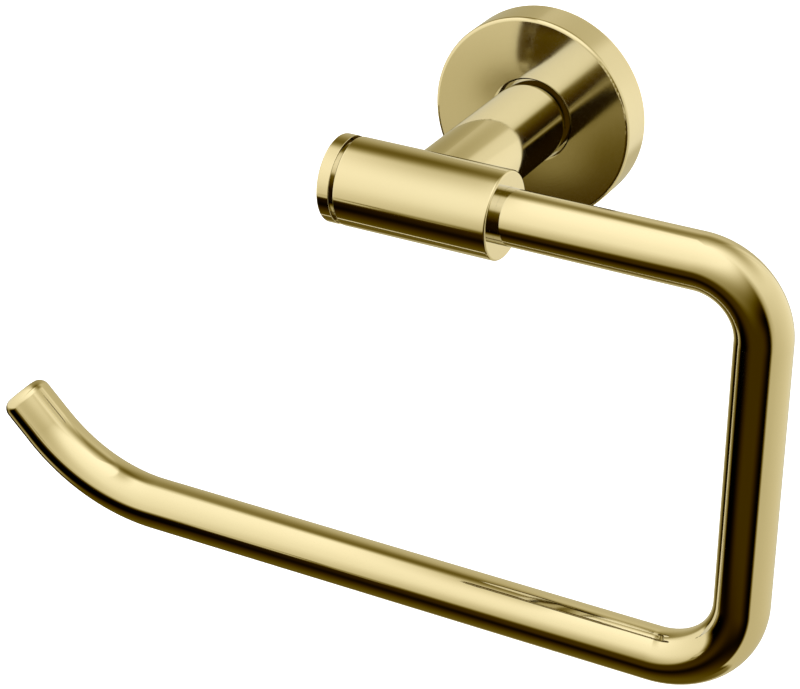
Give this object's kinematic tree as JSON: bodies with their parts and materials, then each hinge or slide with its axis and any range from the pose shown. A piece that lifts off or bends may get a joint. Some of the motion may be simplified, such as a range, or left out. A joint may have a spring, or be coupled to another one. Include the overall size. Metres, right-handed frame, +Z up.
{
  "type": "toilet paper holder",
  "caption": "Wall-mounted toilet paper holder: a round rosette and post carry a cross barrel, and a bent rod arm with an upturned tip pivots in it to take the roll.",
  "frame": {"origin": "on the wall's surface, at the middle of the rosette, which is midway between the two wall screw holes", "axes": "+X along the roll bar towards the arm's vertical run, +Y into the wall, +Z up"},
  "size_m": [0.1917, 0.0655, 0.1241],
  "materials": {
    "polished_gold": "polished, pale gold coating",
    "satin_gold": "fine satin, pale gold coating",
    "wall_plate": "bare, satin",
    "steel": "plain turned steel",
    "dark_steel": "black oxide",
    "bush_plastic": "natural acetal",
    "seal_rubber": "matte"
  },
  "bodies": {
    "wall_bracket": {"wall_plate": "wall_plate", "rosette_cover": "satin_gold", "rosette_grub_screw": "dark_steel", "post": "polished_gold", "post_dowel": "steel", "tie_screw": "steel", "tie_plain_washer": "steel", "tie_lock_washer": "dark_steel", "barrel": "polished_gold", "bearing_sleeve": "steel", "outer_bush": "bush_plastic", "inner_bush": "bush_plastic", "stop_pin": "steel", "end_cap": "polished_gold", "end_cap_oring": "seal_rubber"},
    "arm": {"arm_rod": "polished_gold", "disc_spring": "dark_steel", "retaining_washer": "steel", "retaining_screw": "steel"}
  },
  "joints": [
    {"name": "arm_swing", "type": "hinge", "parent": "wall_bracket", "child": "arm", "pos_m": [0, -0.056, 0], "axis": [-1, 0, 0], "range_deg": [-20, 110]}
  ]
}
